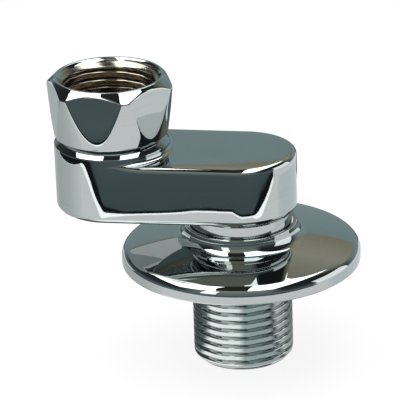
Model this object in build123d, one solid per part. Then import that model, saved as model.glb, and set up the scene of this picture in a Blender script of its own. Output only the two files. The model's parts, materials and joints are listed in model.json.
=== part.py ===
# Eccentric pipe fitting with a captive union nut and a wall rosette.
# Millimetres, +Z along the wall stub away from the wall.
# The origin is on the stub's axis, at the wall plane where the rosette's rim rests.
import os

from math import sqrt

from build123d import *

# G 1/2 pipe thread, shared by the wall stub and the union nut
thread_major = 20.955
thread_minor = 18.631

# Offset arm
offset = 26.5
arm_width = 24.0
arm_thickness = 12.7
arm_above_wall = 11.4
arm_top_rounding = 1.2
arm_bottom_rounding = 1.5

# Boss that carries the nut, flush with the end of the arm
boss_rise = 2.9
boss_chamfer = 1.4
boss_fillet = 1.0

# Wall stub
stub_length = 21.7
stub_chamfer = 1.1
stub_bore = 14.5
thread_start_above_wall = 1.0
neck_over_thread = 0.3
neck_fillet = 0.5

# Water channel inside the arm
channel_width = 15.0
channel_height = 7.0

# Screwed tail that keeps the nut on the boss
tail_spigot_diameter = 15.8
tail_collar_over_spigot = 0.35
tail_flange_diameter = 18.1
tail_flange_thickness = 1.5
tail_bore = 11.0
tail_key_across_flats = 12.0
tail_key_depth = 4.0

# Union nut
nut_across_flats = 24.0
nut_height = 12.7
nut_web = 1.7
nut_bottom_diameter = 23.55
nut_widest_diameter = 26.74
nut_mouth_diameter = 21.8
nut_rim_diameter = 22.6
nut_chamfer_height = 2.05
nut_bottom_rounding = 0.5
nut_relief_over_thread = 0.15
nut_corner_angle = -6.4

# Fibre washer seated on the tail's flange
washer_diameter = 18.4
washer_hole = 14.0
washer_thickness = 1.5

# Rosette, a spun sheet shell
rosette_diameter = 50.0
rosette_sheet = 0.8
rosette_height = 8.6
rosette_shoulder_height = 3.3
rosette_dome_height = 5.55
rosette_neck_fillet = 2.5
rosette_rim_rounding = 2.0
rosette_lip_rounding = 0.25

# Clearances
spigot_clearance = 0.05
nut_running_clearance = 0.25
nut_axial_play = 0.3
washer_headroom = 0.3
rosette_clearance = 0.2

# Heights along the stub's axis
arm_bottom = arm_above_wall
arm_top = arm_bottom + arm_thickness
boss_top = arm_top + boss_rise
channel_bottom = arm_bottom + (arm_thickness - channel_height) / 2
channel_top = channel_bottom + channel_height
nut_bottom = boss_top + nut_axial_play
nut_top = nut_bottom + nut_height
web_top = nut_bottom + nut_web
flange_bottom = web_top + nut_axial_play
flange_top = flange_bottom + tail_flange_thickness
washer_top = flange_top + washer_thickness

# Radii that follow from the sizes above
arm_radius = arm_width / 2
neck_radius = thread_major / 2 + neck_over_thread
collar_radius = tail_spigot_diameter / 2 + tail_collar_over_spigot

# Axis of the nut, and the alignment of solids that stand on their base
nut_axis = Pos(-offset, 0, 0)
standing = (Align.CENTER, Align.CENTER, Align.MIN)


def cylinder(radius, bottom, top):
    """Upright cylinder on the origin's axis between two heights."""
    return Pos(0, 0, bottom) * Cylinder(radius, top - bottom, align=standing)


def prism(outline, bottom, top):
    """Upright prism over a flat outline between two heights."""
    return extrude(Pos(0, 0, bottom) * outline, top - bottom)


def turned(points):
    """Solid of revolution about the origin's axis from (radius, height) points."""
    face = make_face(Polyline(*points, close=True))
    return revolve(Plane.XZ * face, Axis.Z)


def top_edges(solid):
    """Edges that lie at the greatest height."""
    return solid.edges().group_by(Axis.Z)[-1]


def bottom_edges(solid):
    """Edges that lie at the least height."""
    return solid.edges().group_by(Axis.Z)[0]


def arm_slot(width):
    """Slot outline that runs from the stub's axis to the nut's axis."""
    return Pos(-offset / 2, 0) * SlotCenterToCenter(offset, width)


def make_body():
    """One casting: arm, boss and wall stub, with the water passage through it."""
    arm = prism(arm_slot(arm_width), arm_bottom, arm_top)
    arm = fillet(top_edges(arm), arm_top_rounding)
    arm = fillet(bottom_edges(arm), arm_bottom_rounding)

    boss = cylinder(arm_radius, arm_top - arm_top_rounding, boss_top)
    boss = nut_axis * chamfer(top_edges(boss), boss_chamfer)

    # The fillet at the foot of the boss, kept inside the arm's sides
    foot_profile = make_face([
        Line((0, arm_top - arm_top_rounding), (arm_radius + boss_fillet, arm_top - arm_top_rounding)),
        Line((arm_radius + boss_fillet, arm_top - arm_top_rounding), (arm_radius + boss_fillet, arm_top)),
        JernArc((arm_radius + boss_fillet, arm_top), (-1, 0), boss_fillet, -90),
        Line((arm_radius, arm_top + boss_fillet), (0, arm_top + boss_fillet)),
        Line((0, arm_top + boss_fillet), (0, arm_top - arm_top_rounding)),
    ])
    foot = revolve(Plane.XZ * foot_profile, Axis.Z)
    inner_side = (Align.MIN, Align.CENTER, Align.MIN)
    foot = foot & Pos(0, 0, arm_bottom) * Box(offset, arm_width, arm_thickness + boss_rise, align=inner_side)

    neck = cylinder(neck_radius, thread_start_above_wall, arm_bottom + arm_bottom_rounding)
    stub = cylinder(thread_major / 2, -stub_length, thread_start_above_wall)
    stub = chamfer(bottom_edges(stub), stub_chamfer)

    body = arm + boss + nut_axis * foot + neck + stub
    neck_joint = body.edges().filter_by(GeomType.CIRCLE).filter_by(
        lambda edge: abs(edge.radius - neck_radius) < 0.001 and abs(edge.center().Z - arm_bottom) < 0.001
    )
    body = fillet(neck_joint, neck_fillet)

    body -= prism(arm_slot(channel_width), channel_bottom, channel_top)
    body -= cylinder(stub_bore / 2, -stub_length, channel_top)
    body -= nut_axis * cylinder(tail_spigot_diameter / 2 + spigot_clearance, channel_bottom, boss_top)
    return body


def make_tail():
    """Turned tail screwed into the boss, with a flange over the nut's web and a hexagon for the key."""
    tail = cylinder(tail_spigot_diameter / 2, channel_top, boss_top)
    tail += cylinder(collar_radius, boss_top, flange_bottom)
    tail += cylinder(tail_flange_diameter / 2, flange_bottom, flange_top)
    tail -= cylinder(tail_bore / 2, channel_top, flange_top)
    key = RegularPolygon(tail_key_across_flats / 2, 6, major_radius=False)
    tail -= prism(key, flange_top - tail_key_depth, flange_top)
    return nut_axis * tail


def make_nut():
    """Hexagon nut that narrows towards the boss, threaded from the mouth down to a relief."""
    mouth_depth = (nut_mouth_diameter - thread_minor) / 2
    relief_radius = thread_major / 2 + nut_relief_over_thread
    relief_top = washer_top + washer_headroom

    outside = turned([
        (0, nut_bottom),
        (nut_bottom_diameter / 2, nut_bottom),
        (nut_widest_diameter / 2, nut_top - nut_chamfer_height),
        (nut_rim_diameter / 2, nut_top),
        (0, nut_top),
    ])
    outside = fillet(bottom_edges(outside), nut_bottom_rounding)
    hexagon = RegularPolygon(nut_across_flats / 2, 6, major_radius=False, rotation=nut_corner_angle)
    nut = outside & prism(hexagon, nut_bottom, nut_top)

    nut -= turned([
        (0, nut_bottom),
        (collar_radius + nut_running_clearance, nut_bottom),
        (collar_radius + nut_running_clearance, web_top),
        (relief_radius, web_top),
        (relief_radius, relief_top - (relief_radius - thread_minor / 2)),
        (thread_minor / 2, relief_top),
        (thread_minor / 2, nut_top - mouth_depth),
        (nut_mouth_diameter / 2, nut_top),
        (0, nut_top),
    ])
    return nut_axis * nut


def make_washer():
    """Flat fibre ring that rests on the tail's flange."""
    ring = cylinder(washer_diameter / 2, flange_top, washer_top)
    ring -= cylinder(washer_hole / 2, flange_top, washer_top)
    return nut_axis * ring


def make_rosette():
    """Sheet shell: upright rim, shallow dome, hollow flare and a short neck round the stub."""
    rim_radius = rosette_diameter / 2
    hole_radius = neck_radius + rosette_clearance
    lip_radius = hole_radius + rosette_sheet

    # The dome is a sphere that passes through the shoulder and the foot of the neck
    dome_rise = rosette_dome_height - rosette_shoulder_height
    mean_height = (rosette_dome_height + rosette_shoulder_height) / 2
    dome_centre = mean_height - (rim_radius**2 - lip_radius**2) / (2 * dome_rise)
    outer_radius = sqrt(rim_radius**2 + (rosette_shoulder_height - dome_centre) ** 2)
    inner_radius = outer_radius - rosette_sheet

    def dome_point(radius, dome_radius):
        """Point of the dome at a radius from the axis."""
        return (radius, dome_centre + sqrt(dome_radius**2 - radius**2))

    outer_neck = dome_point(lip_radius, outer_radius)
    outer_rim = dome_point(rim_radius, outer_radius)
    inner_rim = dome_point(rim_radius - rosette_sheet, inner_radius)
    inner_neck = dome_point(hole_radius, inner_radius)
    outer_lip = (lip_radius, rosette_height)
    inner_lip = (hole_radius, rosette_height)
    outer_foot = (rim_radius, 0)
    inner_foot = (rim_radius - rosette_sheet, 0)

    section = make_face([
        Line(outer_lip, outer_neck),
        ThreePointArc(outer_neck, dome_point(rim_radius * 0.75, outer_radius), outer_rim),
        Line(outer_rim, outer_foot),
        Line(outer_foot, inner_foot),
        Line(inner_foot, inner_rim),
        ThreePointArc(inner_rim, dome_point(rim_radius * 0.75, inner_radius), inner_neck),
        Line(inner_neck, inner_lip),
        Line(inner_lip, outer_lip),
    ])
    roundings = [
        (outer_neck, rosette_neck_fillet),
        (inner_neck, rosette_neck_fillet + rosette_sheet),
        (outer_rim, rosette_rim_rounding),
        (inner_rim, rosette_rim_rounding - rosette_sheet),
        (outer_lip, rosette_lip_rounding),
        (inner_lip, rosette_lip_rounding),
    ]
    for corner, radius in roundings:
        section = fillet(section.vertices().sort_by_distance((*corner, 0))[0], radius)
    return revolve(Plane.XZ * section, Axis.Z)


os.makedirs("parts", exist_ok=True)
export_step(make_body(), "parts/body.step")
export_step(make_tail(), "parts/union_tail.step")
export_step(make_nut(), "parts/union_nut.step")
export_step(make_washer(), "parts/sealing_washer.step")
export_step(make_rosette(), "parts/rosette.step")
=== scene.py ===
# %% [markdown]
# # An eccentric pipe fitting in polished chrome
#
# The real object joins a pipe in the wall to a tap. A flat arm links a threaded stub, which goes into the
# wall, to a captive nut on a second axis, and a domed cover plate slides on the stub to hide the hole.
# The exact solids are loaded first as a fixed frame. Every surface built below lies in the same frame, so it
# only has to look better than its solid: real threads, softened edges and a finish.

# %% Load the frame
import json

import bmesh
import bpy
import numpy as np
from mathutils import Matrix, Vector

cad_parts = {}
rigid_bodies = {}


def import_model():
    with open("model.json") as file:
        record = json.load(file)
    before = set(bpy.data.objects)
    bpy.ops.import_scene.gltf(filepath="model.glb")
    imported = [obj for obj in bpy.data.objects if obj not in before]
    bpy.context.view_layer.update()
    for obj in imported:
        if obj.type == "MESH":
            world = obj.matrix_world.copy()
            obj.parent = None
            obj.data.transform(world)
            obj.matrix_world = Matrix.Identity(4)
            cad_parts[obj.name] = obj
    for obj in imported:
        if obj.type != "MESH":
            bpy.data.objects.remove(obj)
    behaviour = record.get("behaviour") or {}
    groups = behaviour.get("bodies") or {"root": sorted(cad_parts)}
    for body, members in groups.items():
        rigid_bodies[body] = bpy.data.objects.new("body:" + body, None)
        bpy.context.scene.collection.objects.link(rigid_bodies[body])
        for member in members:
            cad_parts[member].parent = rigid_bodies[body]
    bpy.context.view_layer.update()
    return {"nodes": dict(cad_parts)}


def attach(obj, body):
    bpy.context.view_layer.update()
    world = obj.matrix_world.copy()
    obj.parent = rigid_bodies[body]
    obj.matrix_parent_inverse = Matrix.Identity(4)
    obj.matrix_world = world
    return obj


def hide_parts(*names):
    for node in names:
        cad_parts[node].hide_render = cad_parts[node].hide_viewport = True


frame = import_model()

print("solids:", sorted(frame["nodes"]))

# %% [markdown]
# ## From a grid of points to a mesh
#
# Each piece of this fitting is a ring: a wall that closes on itself round a hole. Its surface is therefore a
# grid that closes in both directions, like a tyre. One direction runs round the axis and the other along the
# section. A modelling tool such as Spin could make the plain rings too, but a grid of numbers also takes a
# thread or a hexagon, because the radius may change with both directions.
#
# Lengths are in millimetres until the mesh is made. A grid may also carry marks, which are named numbers per
# point. They become attributes of the mesh, where a material can read them.

# %% A closed grid becomes a piece
MILLIMETRE = 0.001
MERGE_DISTANCE = 1e-6
SLIVER_WIDTH = 1e-7


def add_object(name, data):
    """A new object in the scene for a mesh, a camera or a lamp."""
    thing = bpy.data.objects.new(name, data)
    bpy.context.scene.collection.objects.link(thing)
    return thing


def add_marks(mesh, shape, marks):
    """One attribute for each mark, with its numbers spread over a grid of the given shape."""
    for label, values in marks.items():
        layer = mesh.attributes.new(label, "FLOAT", "POINT")
        layer.data.foreach_set("value", np.broadcast_to(values, shape).astype(np.float32).ravel())


def ring_piece(name, grid, **marks):
    """Joins each point of a (rows, columns, 3) grid to its neighbours and closes both directions.

    The sum of a . (b x c) over all triangles is six times the volume. Where it is negative the faces are
    turned round. Points in the same place are merged, and faces without a width are dissolved."""
    rows, columns = grid.shape[:2]
    number = np.arange(rows * columns).reshape(rows, columns)
    below = np.roll(number, -1, axis=0)
    quads = np.stack([number, np.roll(number, -1, axis=1), np.roll(below, -1, axis=1), below], axis=-1)
    quads = quads.reshape(-1, 4)
    points = grid.reshape(-1, 3) * MILLIMETRE
    a, b, c, d = (points[quads[:, corner]] for corner in range(4))
    volume = (np.sum(a * np.cross(b, c)) + np.sum(a * np.cross(c, d))) / 6
    if volume < 0:
        quads = quads[:, ::-1]

    mesh = bpy.data.meshes.new(name)
    mesh.vertices.add(len(points))
    mesh.vertices.foreach_set("co", points.astype(np.float32).ravel())
    mesh.loops.add(quads.size)
    mesh.loops.foreach_set("vertex_index", quads.astype(np.int32).ravel())
    mesh.polygons.add(len(quads))
    mesh.polygons.foreach_set("loop_start", np.arange(0, quads.size, 4, dtype=np.int32))
    mesh.update(calc_edges=True)
    add_marks(mesh, (rows, columns), marks)

    cleaner = bmesh.new()
    cleaner.from_mesh(mesh)
    bmesh.ops.remove_doubles(cleaner, verts=cleaner.verts, dist=MERGE_DISTANCE)
    bmesh.ops.dissolve_degenerate(cleaner, edges=cleaner.edges, dist=SLIVER_WIDTH)
    cleaner.to_mesh(mesh)
    cleaner.free()
    mesh.polygons.foreach_set("use_smooth", np.ones(len(mesh.polygons), dtype=bool))
    mesh.validate()
    print(name, "faces:", len(mesh.polygons), "volume mm3:", round(abs(volume) / MILLIMETRE**3))
    return add_object(name, mesh)


print("points are merged within mm:", MERGE_DISTANCE / MILLIMETRE)

# %% [markdown]
# ## Sections made of lines and arcs
#
# A section is a chain of (radius, height) points. Straight runs get an extra point close to each end: smooth
# shading blends the directions of neighbouring faces, and the narrow face beside an arc keeps the flat next
# to it truly flat. On chrome this matters, because a flat that is shaded a little round shows a bent
# reflection. A whole section is carried round its axis in one step, as one array.

# %% Lines, arcs and turning
SUPPORT, SUPPORT_SHARE = 0.06, 0.3
SAME_POINT = 1e-5
TINY = 1e-6


def straight(start, end, steps=3):
    """Points from start to end, with one near each end: p = start + t (end - start)."""
    start, end = np.array(start, float), np.array(end, float)
    near = min(SUPPORT_SHARE, SUPPORT / max(np.linalg.norm(end - start), TINY))
    t = np.concatenate([[0.0], np.linspace(near, 1 - near, steps), [1.0]])[:, None]
    return start + t * (end - start)


def arc(centre, radius, start, end, steps=8):
    """Points on a circle: centre + radius (cos a, sin a), with a running between two angles in degrees."""
    a = np.radians(np.linspace(start, end, steps + 1))[:, None]
    return np.array(centre, float) + radius * np.hstack([np.cos(a), np.sin(a)])


def chain(*runs):
    """One section from several runs, with repeated end points left out."""
    points = np.concatenate(runs)
    apart = np.linalg.norm(points - np.roll(points, 1, axis=0), axis=1) > SAME_POINT
    return points[apart]


def rings(axis_x, radius, height, angle):
    """Rows of points about an upright axis: (axis + r cos a, r sin a, z), each by row and column."""
    x, y, z = np.broadcast_arrays(axis_x + radius * np.cos(angle), radius * np.sin(angle), height)
    return np.stack([x, y, z], axis=-1)


def turned(section, axis_x, angle):
    """A section carried round an upright axis, with one row of points for each (radius, height)."""
    section = np.array(section, float)
    return rings(axis_x, section[:, :1], section[:, 1:], angle)


def all_round(columns):
    """Evenly spaced angles of a full turn, in radians."""
    return np.linspace(0, 2 * np.pi, columns, endpoint=False)


print("points on a quarter of a circle:", len(arc((0, 0), 1, 0, 90)))

# %% [markdown]
# ## The pipe thread
#
# Both threads are G 1/2: 14 turns to the inch, right-handed. A screw modifier could wind a profile up the
# axis, but then the ends need joining by hand. Here the thread is only a change of radius on a turned grid:
# the phase advances by one turn per pitch of height and by one turn per turn round the axis. Polishing has
# worn the crests broad and flat, so the profile is a smooth step of the phase's cosine: broad on top, narrow
# in the root.

# %% Profile of a G 1/2 thread
PITCH = 1.814
MAJOR_RADIUS, MINOR_RADIUS = 10.4775, 9.3155
THREAD_DEPTH = MAJOR_RADIUS - MINOR_RADIUS
ROOT_COSINE, CREST_COSINE = -0.97, -0.30


def fade(value, start, end):
    """Smooth step from 0 at start to 1 at end: 3 t^2 - 2 t^3."""
    t = np.clip((value - start) / (end - start), 0, 1)
    return t * t * (3 - 2 * t)


def soft_min(a, b, width):
    """The smaller of two values, rounded where they differ by less than a width.

    There it is min(a, b) - (width - |a - b|)^2 / (4 width)."""
    overlap = np.maximum(width - np.abs(a - b), 0)
    return np.minimum(a, b) - overlap**2 / (4 * width)


def thread_height(angle, height):
    """0 in the root and 1 on the crest: a smooth step of cos p, with p = 2 pi height / pitch - angle."""
    return fade(np.cos(2 * np.pi * height / PITCH - angle), ROOT_COSINE, CREST_COSINE)


print("thread depth mm:", round(THREAD_DEPTH, 3))

# %% [markdown]
# ## The body
#
# The body is one casting: stub, neck, flat arm and round boss. Modelling it from joined cylinders would leave
# seams where they cross. Instead one grid covers it from end to end. Its columns follow the outline of the
# arm, a slot with two round ends, and each row carries that outline to another shape: to a circle round the
# stub's axis below, and to a circle round the nut's axis above. Arcs between the rows round every edge.

# %% Columns of the body
OFFSET = 26.5
ARM_RADIUS = 12.0
LEFT_COLUMNS, SIDE_COLUMNS, RIGHT_COLUMNS = 108, 54, 144


def arm_columns():
    """Slot outline in columns: the centre that each turns about, and its direction from there in radians.

    The left end turns about the nut's axis, the sides move along x, and the right end turns about the
    stub's axis."""
    left = np.linspace(90, 270, LEFT_COLUMNS, endpoint=False)
    right = np.linspace(-90, 90, RIGHT_COLUMNS, endpoint=False)
    along = np.linspace(-OFFSET, 0, SIDE_COLUMNS, endpoint=False)
    centre = np.concatenate([np.full(LEFT_COLUMNS, -OFFSET), along, np.zeros(RIGHT_COLUMNS), -OFFSET - along])
    turn = np.concatenate([left, np.full(SIDE_COLUMNS, -90.0), right, np.full(SIDE_COLUMNS, 90.0)])
    return centre, np.radians(turn)


column_centre, column_turn = arm_columns()


def arm_rows(radius, height):
    """Rows along the slot: (centre + r cos a, r sin a, z), with each column's own centre and direction."""
    return rings(column_centre, radius, height, column_turn)


def between(start, end, shares):
    """Rows that lead from one outline to another: start + t (end - start) for each share t of the way."""
    return start + np.reshape(shares, (-1, 1, 1)) * (end - start)


def by_row(*values):
    """Values that belong to one row of points each."""
    return np.array(values, float)[:, None]


def quarter(steps):
    """A quarter turn by rows, as 1 - cos t and sin t: the first starts slowly, the second ends slowly."""
    t = np.linspace(0, np.pi / 2, steps + 1)[:, None]
    return 1 - np.cos(t), np.sin(t)


print("body columns:", len(column_turn))

# %% [markdown]
# The boss is as wide as the arm and flush with its left end, so along the sides the gap between boss and edge
# opens slowly from nothing. The edge's rounding and the hollow fillet at the boss's foot share that gap:
# while it is narrow both become quarter ellipses, squeezed sideways and full in height, and they fade into
# the plain wall of the left end. That is how the casting looks where the two forms run together.

# %% Directions of the columns at the boss and at the stub
ARM_TOP = 24.1
BOSS_FILLET, EDGE_ROUNDING = 1.0, 1.2
SHARED_GAP_END = 8.0
SQUEEZE_BLEND = 0.1


def boss_directions():
    """For each column the boss's angle, wall point and foot point, and the share of full width that arcs get.

    Left end: the column's own direction. Sides up to SHARED_GAP_END from the axis: the same x, so the angle
    is arccos(x / r). The rest of the outline is spread evenly over the rest of the boss."""
    edge = arm_rows(ARM_RADIUS, ARM_TOP)
    x = edge[:, 0] + OFFSET
    place = np.arange(len(x))
    side = (place >= LEFT_COLUMNS) & (x <= SHARED_GAP_END)
    front = side & (place < LEFT_COLUMNS + SIDE_COLUMNS)
    back = side & (place >= LEFT_COLUMNS + SIDE_COLUMNS)
    rest = (place >= LEFT_COLUMNS) & ~side
    spread = np.linspace(-1, 1, np.count_nonzero(rest) + 2)[1:-1]

    def directions(radius):
        """Angle of each column on a circle about the nut's axis."""
        angle = column_turn.copy()
        angle[front] = -np.arccos(x[front] / radius)
        angle[back] = np.arccos(x[back] / radius)
        angle[rest] = spread * np.arccos(SHARED_GAP_END / radius)
        return angle

    foot_radius = ARM_RADIUS + BOSS_FILLET
    wall_angle = directions(ARM_RADIUS)
    wall = rings(-OFFSET, ARM_RADIUS, ARM_TOP, wall_angle)
    foot = rings(-OFFSET, foot_radius, ARM_TOP, directions(foot_radius))
    gap = np.linalg.norm(edge - wall, axis=1)
    width = np.linalg.norm(foot - wall, axis=1)
    share = np.clip(soft_min(gap / (EDGE_ROUNDING + width), 1.0, SQUEEZE_BLEND), 0, 1)
    share[:LEFT_COLUMNS] = 0
    return wall_angle, wall, wall + (foot - wall) * share[:, None], share


boss_angle, boss_wall, boss_foot, squeeze = boss_directions()
arm_edge = arm_rows(ARM_RADIUS, ARM_TOP)
stub_angle = np.arctan2(arm_edge[:, 1], arm_edge[:, 0])
print("narrowest and widest arcs at the boss:", squeeze.min().round(3), squeeze.max().round(3))

# %% [markdown]
# Now the rows. They start at the end of the stub and climb the thread and the neck. The chamfer at the end is
# one more radius that grows with height, and the smaller of thread and chamfer wins. Towards the neck the
# thread runs out into a plain cylinder, as a die leaves it.

# %% Stub and neck
STUB_END, THREAD_TOP, NECK_FROM, ARM_BOTTOM = -21.7, 1.0, 1.3, 11.4
BORE_RADIUS, NECK_RADIUS = 7.25, 10.7775
NECK_FILLET = 0.5
STUB_CHAMFER, STUB_BEVEL = 1.1, 0.35
END_FACE_RADII = (7.66, 8.3, 9.05)
THREAD_ROWS_PER_TURN = 11
THREAD_CUT_BLEND = 0.25
RUN_OUT_FROM, RUN_OUT_TO = -1.2, 0.8


def stub_rows():
    """End face, chamfered thread and neck, all in circles about the stub's axis.

    The thread's radius is the minor radius plus the depth times thread_height, cut by a chamfer of radius
    c + (z - end), and it fades to the major radius in its run-out."""
    mouth = straight((BORE_RADIUS, STUB_END + STUB_BEVEL), (BORE_RADIUS + STUB_BEVEL, STUB_END), 1)
    face = [(radius, STUB_END) for radius in END_FACE_RADII]
    z = np.arange(STUB_END, THREAD_TOP, PITCH / THREAD_ROWS_PER_TURN)[:, None]
    chamfer = MAJOR_RADIUS - STUB_CHAMFER + (z - STUB_END)
    radius = soft_min(MINOR_RADIUS + THREAD_DEPTH * thread_height(stub_angle, z), chamfer, THREAD_CUT_BLEND)
    radius = radius + (MAJOR_RADIUS - radius) * fade(z, RUN_OUT_FROM, RUN_OUT_TO)
    neck = chain(
        straight((MAJOR_RADIUS, THREAD_TOP), (NECK_RADIUS, NECK_FROM), 1),
        straight((NECK_RADIUS, NECK_FROM), (NECK_RADIUS, ARM_BOTTOM - NECK_FILLET), 5),
    )
    return np.concatenate([
        turned(np.concatenate([mouth, face]), 0, stub_angle),
        rings(0, radius, z, stub_angle),
        turned(neck[1:-1], 0, stub_angle),
    ])


stub_part = stub_rows()
print("rows of the stub and neck:", len(stub_part))

# %% [markdown]
# Under the arm the rows run out from the neck to the arm's lower edge. At the right end the neck comes so
# near the edge that fillet and rounding hardly fit, so both are narrowed there by the same share.

# %% Underside of the arm
BOTTOM_ROUNDING = 1.5
ROOM_USED, ROOM_BLEND = 0.98, 0.05
UNDERSIDE_SHARES = (0.01, 0.08, 0.2, 0.35, 0.5, 0.65, 0.8, 0.92, 0.99)


def underside_rows():
    """Neck fillet, flat underside and rounded lower edge, squeezed sideways where the neck is near the edge.

    The room for both is the part along the column's direction that lies between the neck and the arm's
    wall: arm radius + centre cos(column) - neck radius cos(stub angle - column)."""
    along = np.cos(stub_angle - column_turn)
    room = ARM_RADIUS + column_centre * np.cos(column_turn) - NECK_RADIUS * along
    share = soft_min(ROOM_USED * room / (NECK_FILLET * along + BOTTOM_ROUNDING), 1.0, ROOM_BLEND)
    out, up = quarter(7)
    fillet_radius = NECK_RADIUS + NECK_FILLET * share * out
    fillet = rings(0, fillet_radius, ARM_BOTTOM - NECK_FILLET * (1 - up), stub_angle)
    rise, out = quarter(9)
    width = BOTTOM_ROUNDING * share
    rounding = arm_rows(ARM_RADIUS - width * (1 - out), ARM_BOTTOM + BOTTOM_ROUNDING * rise)
    flat = between(fillet[-1], rounding[0], UNDERSIDE_SHARES)
    return np.concatenate([fillet, flat, rounding])


underside_part = underside_rows()
print("rows under the arm:", len(underside_part))

# %% [markdown]
# Then they climb the arm's side, go over its edge and reach the foot of the boss. Hand polishing on a wheel
# takes a little more off near the long edges, and on chrome even a tenth of a millimetre bends a reflection,
# so the top is lowered there by a smooth curve.

# %% Side and top of the arm
TOP_WEAR, TOP_WEAR_REACH, TOP_WEAR_SHARE = 0.12, 8.0, 0.6
WALL_NEAR, WALL_FAR = 0.08, 2.0
WORN_SHARES = (0.02, 0.1, 0.2, 0.3, 0.45, 0.6, 0.8, 1.0)
PLAIN_SHARES = (0.15, 0.35, 0.6, 0.85, 0.95, 0.99)


def side_rows():
    """Upright wall of the arm, its rounded upper edge and the top as far as the boss's foot.

    Along the long sides the top is lowered by the wear times the square of the share of the worn strip that
    is left. The wear is TOP_WEAR, less in proportion where the strip is narrower than TOP_WEAR_REACH. The
    sine of the column's direction to the fourth power fades it out round both ends."""
    low, high = ARM_BOTTOM + BOTTOM_ROUNDING, ARM_TOP - EDGE_ROUNDING
    middle = (low + high) / 2
    wall_heights = by_row(low + WALL_NEAR, low + WALL_FAR, middle, high - WALL_FAR, high - WALL_NEAR)
    inner = arm_rows(ARM_RADIUS - EDGE_ROUNDING * squeeze, ARM_TOP)
    run = np.linalg.norm(boss_foot - inner, axis=1)
    worn = np.minimum(TOP_WEAR_REACH, TOP_WEAR_SHARE * run)
    wear = TOP_WEAR * worn / TOP_WEAR_REACH * np.sin(column_turn) ** 4

    inwards, up = quarter(9)
    edge_height = ARM_TOP - EDGE_ROUNDING * (1 - up) - wear * up
    edge = arm_rows(ARM_RADIUS - EDGE_ROUNDING * squeeze * inwards, edge_height)
    distance = np.concatenate([worn * by_row(*WORN_SHARES), worn + (run - worn) * by_row(*PLAIN_SHARES)])
    left = np.clip(1 - distance / np.maximum(worn, TINY), 0, 1)
    top = inner + (distance / np.maximum(run, TINY))[..., None] * (boss_foot - inner)
    top[..., 2] -= wear * left**2
    return np.concatenate([arm_rows(ARM_RADIUS, wall_heights), edge, top])


side_part = side_rows()
print("rows up the side and over the top:", len(side_part))

# %% [markdown]
# The boss follows: a hollow fillet, a short wall, a chamfer with softened edges, the ring that the nut turns
# on, and the socket that the tail is screwed into.

# %% Boss
BOSS_TOP, CHANNEL_TOP = 27.0, 21.25
BOSS_CHAMFER, BOSS_SOFTENING, BOSS_TRIM, BOSS_NEAR = 1.4, 0.25, 0.1, 0.05
SOCKET_RADIUS, SOCKET_BEVEL = 7.95, 0.3


def boss_rows():
    """Fillet as a quarter ellipse from foot to wall, then circles about the nut's axis into the socket."""
    rise, across = quarter(9)
    fillet = between(boss_foot, boss_wall, across)
    fillet[..., 2] += BOSS_FILLET * rise
    inner = ARM_RADIUS - BOSS_CHAMFER - BOSS_TRIM
    low = BOSS_TOP - BOSS_CHAMFER - BOSS_TRIM
    section = chain(
        straight((ARM_RADIUS, ARM_TOP + BOSS_FILLET + BOSS_NEAR), (ARM_RADIUS, low), 1),
        arc((ARM_RADIUS - BOSS_SOFTENING, low), BOSS_SOFTENING, 0, 45, 4),
        arc((inner, BOSS_TOP - BOSS_SOFTENING), BOSS_SOFTENING, 45, 90, 4),
        straight((inner, BOSS_TOP), (SOCKET_RADIUS + SOCKET_BEVEL, BOSS_TOP), 2),
        straight((SOCKET_RADIUS + SOCKET_BEVEL, BOSS_TOP), (SOCKET_RADIUS, BOSS_TOP - SOCKET_BEVEL), 1),
        straight((SOCKET_RADIUS, BOSS_TOP - SOCKET_BEVEL), (SOCKET_RADIUS, CHANNEL_TOP), 2),
    )
    return np.concatenate([fillet, turned(section, -OFFSET, boss_angle)])


boss_part = boss_rows()
print("rows of the boss:", len(boss_part))

# %% [markdown]
# Last, the rows come back through the water passage to where they began: along the channel in the arm and
# down the stub's bore. Two marks go with the body. One grows towards the roots of the thread, and the other
# is 1 in the socket and the passage.

# %% Water passage, and the whole body
CHANNEL_RADIUS, CHANNEL_BOTTOM, CHANNEL_CORNER = 8.05, 14.25, 0.2
CHANNEL_SHARES = (0.3, 0.7, 1.0)
BORE_HEIGHTS = (CHANNEL_BOTTOM - CHANNEL_CORNER, 8.0, -4.0, -14.0, STUB_END + 0.6)
ROOT_MARK_TOP, FACE_MARGIN = 0.6, 0.5
SOCKET_ROWS = 6


def passage_rows():
    """Out from the socket to the channel's wall, down that wall, in to the bore, and down the bore."""
    socket = rings(-OFFSET, SOCKET_RADIUS, CHANNEL_TOP, boss_angle)
    wall_heights = by_row(CHANNEL_TOP - CHANNEL_CORNER, CHANNEL_BOTTOM + CHANNEL_CORNER, CHANNEL_BOTTOM)
    wall = arm_rows(CHANNEL_RADIUS, wall_heights)
    bore = rings(0, BORE_RADIUS, CHANNEL_BOTTOM, stub_angle)
    return np.concatenate([
        between(socket, arm_rows(CHANNEL_RADIUS, CHANNEL_TOP), CHANNEL_SHARES),
        wall,
        between(wall[-1], bore, CHANNEL_SHARES),
        rings(0, BORE_RADIUS, by_row(*BORE_HEIGHTS), stub_angle),
    ])


passage_part = passage_rows()
body_grid = np.concatenate([stub_part, underside_part, side_part, boss_part, passage_part])
from_stub = np.hypot(body_grid[..., 0], body_grid[..., 1])
threaded = (body_grid[..., 2] < ROOT_MARK_TOP) & (from_stub > BORE_RADIUS + FACE_MARGIN)
root_mark = np.where(threaded, np.clip((MAJOR_RADIUS - from_stub) / THREAD_DEPTH, 0, 1), 0)
passage_mark = np.zeros((len(body_grid), 1))
passage_mark[-len(passage_part) - SOCKET_ROWS:] = 1
body = ring_piece("fitting_body", body_grid, root=root_mark, inside=passage_mark)

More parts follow.
